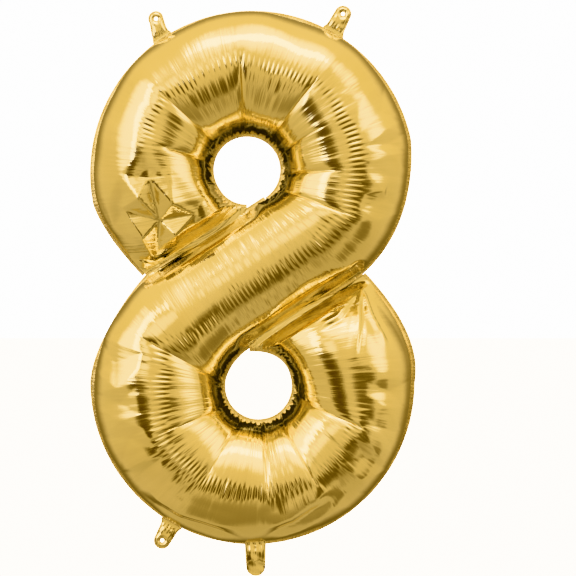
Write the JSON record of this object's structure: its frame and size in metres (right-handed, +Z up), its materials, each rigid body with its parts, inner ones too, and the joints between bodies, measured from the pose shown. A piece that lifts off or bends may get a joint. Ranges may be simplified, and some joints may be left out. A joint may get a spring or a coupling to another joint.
{
  "type": "foil number balloon",
  "caption": "Inflated gold foil balloon in the shape of an 8: welded front and rear film panels, hang tabs, and an inflation neck with a flat film valve.",
  "frame": {"origin": "centre of the hang hole in the top right tab, in the plane of the welds", "axes": "+X to the figure's right, +Y to the rear (the front faces -Y), +Z up the figure"},
  "size_m": [0.5148, 0.1962, 0.9006],
  "materials": {
    "gold_foil": "mirror gold metallised film, puckered",
    "welded_foil": "the same film, two plies heat-sealed flat",
    "valve_film": "clear, slightly milky film"
  },
  "bodies": {
    "inflated_body": {"front_foil_panel": "gold_foil", "rear_foil_panel": "gold_foil", "upper_outer_weld": "welded_foil", "lower_left_outer_weld": "welded_foil", "lower_right_outer_weld": "welded_foil", "upper_hole_weld": "welded_foil", "lower_hole_weld": "welded_foil", "upper_waist_weld": "welded_foil", "lower_waist_weld": "welded_foil"},
    "top_left_tab": {"top_left_hang_tab": "welded_foil"},
    "top_right_tab": {"top_right_hang_tab": "welded_foil"},
    "bottom_left_tab": {"bottom_left_hang_tab": "welded_foil"},
    "neck": {"neck_front_ply": "gold_foil", "neck_rear_ply": "gold_foil", "neck_left_edge_weld": "welded_foil", "neck_right_edge_weld": "welded_foil", "valve_front_tail": "valve_film", "valve_rear_tail": "valve_film"},
    "front_lip": {"valve_front_lip": "valve_film"},
    "rear_lip": {"valve_rear_lip": "valve_film"}
  },
  "joints": [
    {"name": "top_left_tab_bend", "type": "hinge", "parent": "inflated_body", "child": "top_left_tab", "pos_m": [-0.28569, 0, -0.03698], "axis": [0.832, 0, 0.5548], "range_deg": [-85, 85], "stiffness_Nm_per_rad": 0.0004},
    {"name": "top_right_tab_bend", "type": "hinge", "parent": "inflated_body", "child": "top_right_tab", "pos_m": [-0.01482, 0, -0.028], "axis": [0.8669, 0, -0.4985], "range_deg": [-85, 85], "stiffness_Nm_per_rad": 0.0004},
    {"name": "bottom_left_tab_bend", "type": "hinge", "parent": "inflated_body", "child": "bottom_left_tab", "pos_m": [-0.27051, 0, -0.80387], "axis": [-0.8678, 0, 0.497], "range_deg": [-85, 85], "stiffness_Nm_per_rad": 0.0004},
    {"name": "neck_bend", "type": "hinge", "parent": "inflated_body", "child": "neck", "pos_m": [-0.1383, 0, -0.83328], "axis": [-0.9998, 0, -0.0175], "range_deg": [-60, 60], "stiffness_Nm_per_rad": 0.0004},
    {"name": "valve_front_lip_swing", "type": "hinge", "parent": "inflated_body", "child": "front_lip", "pos_m": [-0.1383, 0, -0.83328], "axis": [0.9998, 0, 0.0175], "range_deg": [0, 8], "stiffness_Nm_per_rad": 0.0001},
    {"name": "valve_rear_lip_swing", "type": "hinge", "parent": "inflated_body", "child": "rear_lip", "pos_m": [-0.1383, 0, -0.83328], "axis": [0.9998, 0, 0.0175], "range_deg": [-8, 0], "stiffness_Nm_per_rad": 0.0001}
  ],
  "couplings": [
    {"joint": "valve_rear_lip_swing", "follows": "valve_front_lip_swing", "ratio": -1}
  ]
}
